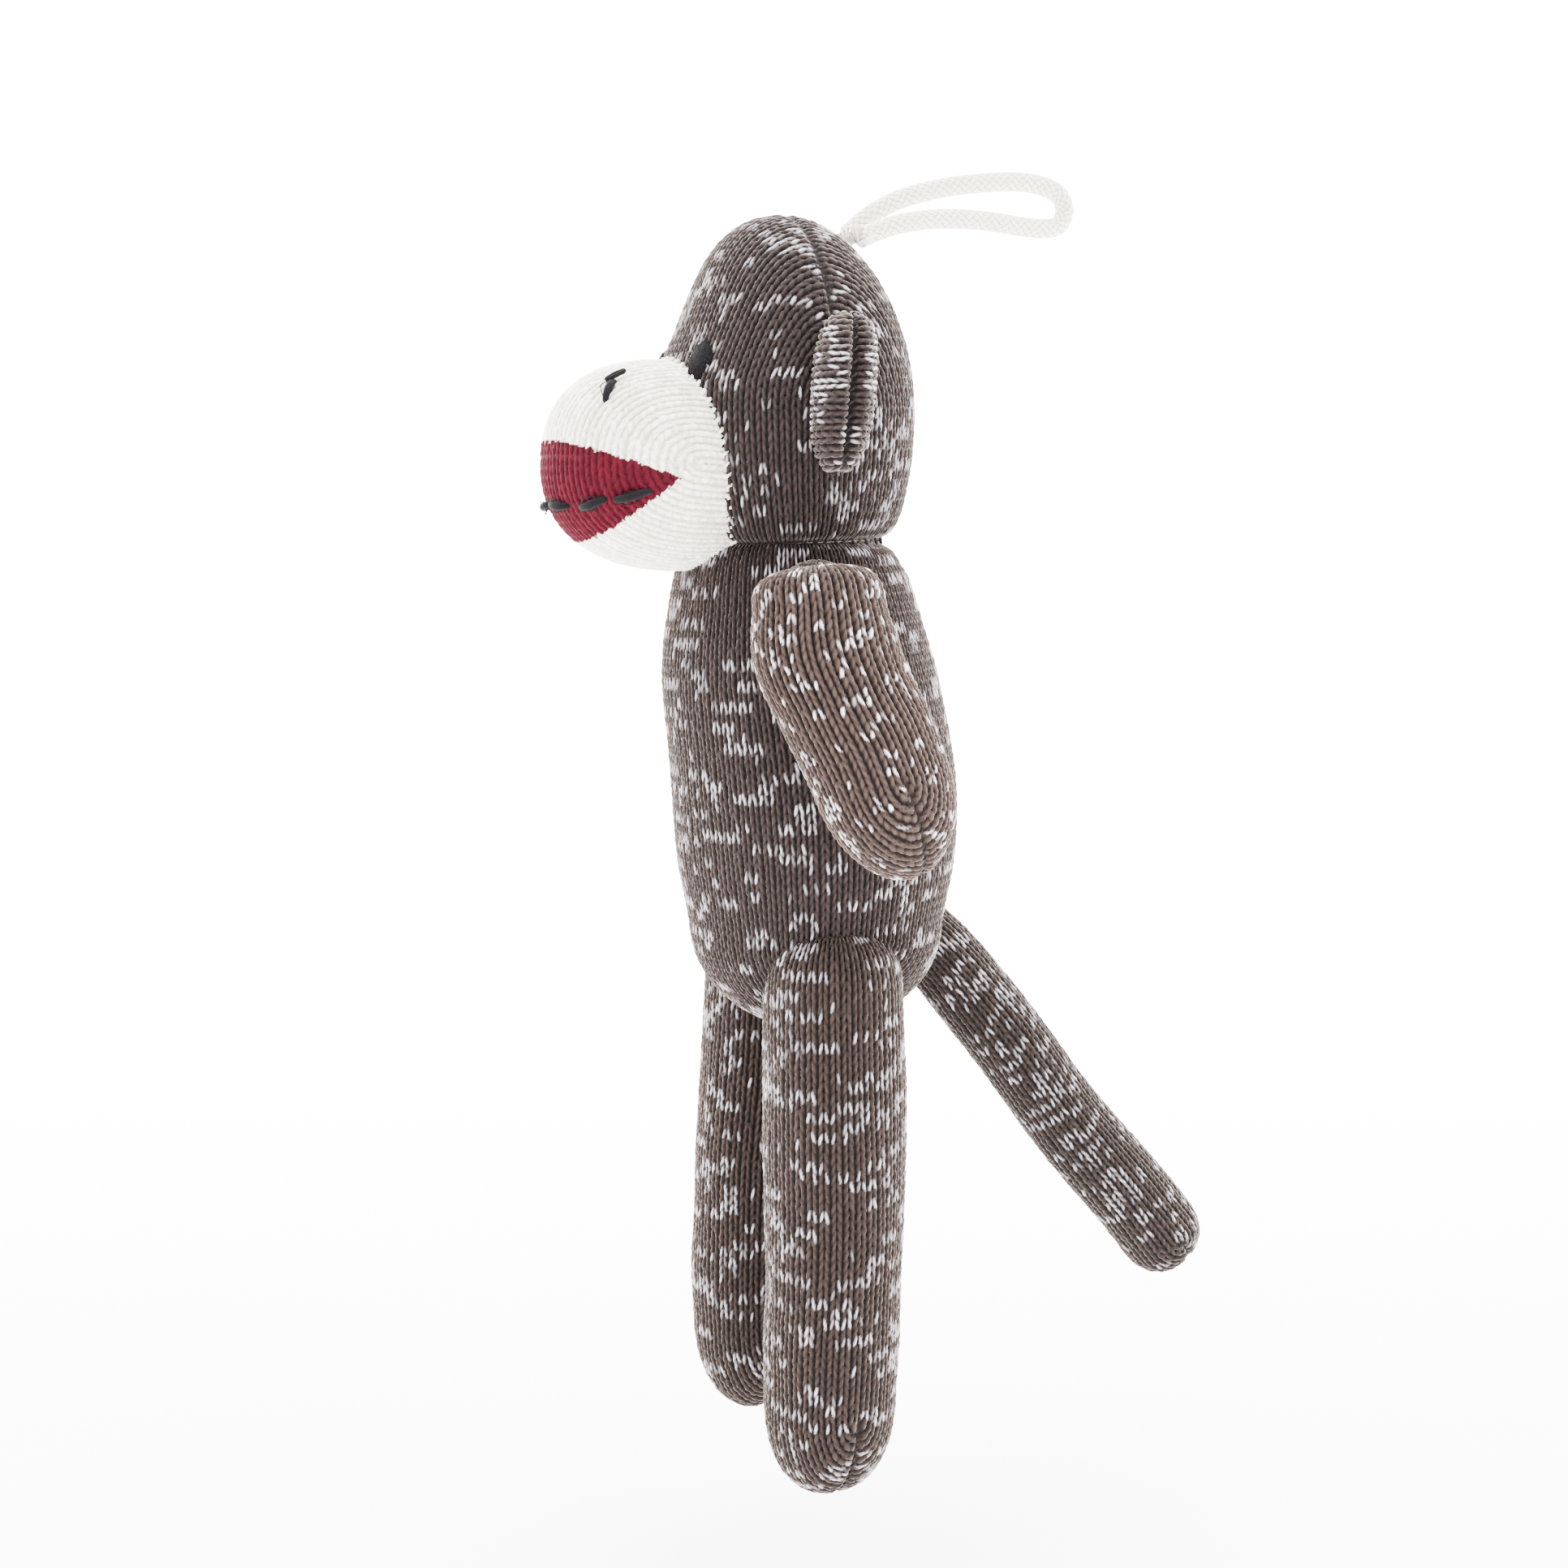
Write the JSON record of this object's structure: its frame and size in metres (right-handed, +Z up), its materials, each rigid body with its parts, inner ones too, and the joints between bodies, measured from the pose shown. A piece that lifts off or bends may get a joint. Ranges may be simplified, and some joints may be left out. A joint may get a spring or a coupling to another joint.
{
  "type": "stuffed monkey",
  "caption": "Knitted stuffed monkey toy with long legs, hanging arms, a slanting tail, a cream muzzle with a red mouth, and a cord loop on its crown.",
  "frame": {"origin": "where the hanging loop is sewn to the back of the crown, on the middle plane", "axes": "+Z up along the body, -Y the way the monkey faces, +X the monkey's left side"},
  "size_m": [0.1288, 0.1962, 0.3429],
  "materials": {
    "knit_body": "brown stockinette knit with light flecks",
    "knit_limb": "brown stockinette knit with light flecks",
    "knit_cream": "cream stockinette knit",
    "knit_red": "red stockinette knit",
    "yarn_black": "black wool yarn",
    "yarn_brown": "dark brown sewing yarn",
    "yarn_cream": "cream sewing yarn",
    "cord_cotton": "braided natural cotton",
    "filling": "white fibre filling"
  },
  "bodies": {
    "head": {"head_cover": "knit_body", "head_stuffing": "filling", "crown_seam": "yarn_brown", "neck_seam": "yarn_brown", "muzzle_cover": "knit_cream", "mouth_panel": "knit_red", "muzzle_stuffing": "filling", "muzzle_seam": "yarn_cream", "mouth_stitches": "yarn_black", "nostril_stitches": "yarn_black", "eye_left": "yarn_black", "eye_right": "yarn_black"},
    "loop": {"hang_loop": "cord_cotton", "loop_tack": "yarn_cream"},
    "neck": {"neck_stuffing": "filling"},
    "torso": {"torso_cover": "knit_body", "torso_stuffing": "filling", "hip_seam_left": "yarn_brown", "hip_seam_right": "yarn_brown"},
    "tail_root": {"tail_root_stuffing": "filling"},
    "tail": {"tail_cover": "knit_limb", "tail_stuffing": "filling", "tail_seam": "yarn_brown", "tail_end_seam": "yarn_brown"},
    "ear_left": {"ear_left": "knit_body", "ear_seam_left": "yarn_brown"},
    "shoulder_left": {"shoulder_seam_left": "yarn_brown"},
    "arm_left": {"arm_cover_left": "knit_limb", "arm_stuffing_left": "filling", "hand_seam_left": "yarn_brown"},
    "hip_left": {"hip_stuffing_left": "filling"},
    "leg_left": {"leg_cover_left": "knit_limb", "leg_stuffing_left": "filling", "foot_seam_left": "yarn_brown"},
    "ear_right": {"ear_right": "knit_body", "ear_seam_right": "yarn_brown"},
    "shoulder_right": {"shoulder_seam_right": "yarn_brown"},
    "arm_right": {"arm_cover_right": "knit_limb", "arm_stuffing_right": "filling", "hand_seam_right": "yarn_brown"},
    "hip_right": {"hip_stuffing_right": "filling"},
    "leg_right": {"leg_cover_right": "knit_limb", "leg_stuffing_right": "filling", "foot_seam_right": "yarn_brown"}
  },
  "joints": [
    {"name": "loop_swing", "type": "hinge", "parent": "head", "child": "loop", "pos_m": [0, 0, 0], "axis": [1, 0, 0], "range_deg": [-15, 85]},
    {"name": "head_turn", "type": "hinge", "parent": "head", "child": "neck", "pos_m": [0, -0.018, -0.076], "axis": [0, 0, -1], "range_deg": [-30, 30], "stiffness_Nm_per_rad": 0.3},
    {"name": "head_nod", "type": "hinge", "parent": "neck", "child": "torso", "pos_m": [0, -0.018, -0.076], "axis": [1, 0, 0], "range_deg": [-6, 15], "stiffness_Nm_per_rad": 0.5},
    {"name": "ear_flap_left", "type": "hinge", "parent": "head", "child": "ear_left", "pos_m": [0.0355, -0.0225, -0.0418], "axis": [0, 0, 1], "range_deg": [-18, 18], "stiffness_Nm_per_rad": 0.01},
    {"name": "arm_swing_left", "type": "hinge", "parent": "torso", "child": "shoulder_left", "pos_m": [0.0305, -0.0245, -0.086], "axis": [1, 0, 0], "range_deg": [-85, 35], "stiffness_Nm_per_rad": 0.05},
    {"name": "arm_raise_left", "type": "hinge", "parent": "shoulder_left", "child": "arm_left", "pos_m": [0.0305, -0.0245, -0.086], "axis": [0, -1, 0], "range_deg": [0, 60], "stiffness_Nm_per_rad": 0.05},
    {"name": "leg_swing_left", "type": "hinge", "parent": "torso", "child": "hip_left", "pos_m": [0.0226, -0.0158, -0.191], "axis": [1, 0, 0], "range_deg": [-60, 25], "stiffness_Nm_per_rad": 0.15},
    {"name": "leg_spread_left", "type": "hinge", "parent": "hip_left", "child": "leg_left", "pos_m": [0.0226, -0.0158, -0.191], "axis": [0, -1, 0], "range_deg": [0, 25], "stiffness_Nm_per_rad": 0.15},
    {"name": "ear_flap_right", "type": "hinge", "parent": "head", "child": "ear_right", "pos_m": [-0.0355, -0.0225, -0.0418], "axis": [0, 0, 1], "range_deg": [-18, 18], "stiffness_Nm_per_rad": 0.01},
    {"name": "arm_swing_right", "type": "hinge", "parent": "torso", "child": "shoulder_right", "pos_m": [-0.0305, -0.0095, -0.086], "axis": [1, 0, 0], "range_deg": [-85, 35], "stiffness_Nm_per_rad": 0.05},
    {"name": "arm_raise_right", "type": "hinge", "parent": "shoulder_right", "child": "arm_right", "pos_m": [-0.0305, -0.0095, -0.086], "axis": [0, 1, 0], "range_deg": [0, 60], "stiffness_Nm_per_rad": 0.05},
    {"name": "leg_swing_right", "type": "hinge", "parent": "torso", "child": "hip_right", "pos_m": [-0.0226, -0.0158, -0.1865], "axis": [1, 0, 0], "range_deg": [-60, 25], "stiffness_Nm_per_rad": 0.15},
    {"name": "leg_spread_right", "type": "hinge", "parent": "hip_right", "child": "leg_right", "pos_m": [-0.0226, -0.0158, -0.1865], "axis": [0, 1, 0], "range_deg": [0, 25], "stiffness_Nm_per_rad": 0.15},
    {"name": "tail_wag", "type": "hinge", "parent": "torso", "child": "tail_root", "pos_m": [0, 0.019, -0.1785], "axis": [0, 0, 1], "range_deg": [-20, 20], "stiffness_Nm_per_rad": 0.1},
    {"name": "tail_lift", "type": "hinge", "parent": "tail_root", "child": "tail", "pos_m": [0, 0.019, -0.1785], "axis": [1, 0, 0], "range_deg": [-18, 45], "stiffness_Nm_per_rad": 0.15}
  ]
}
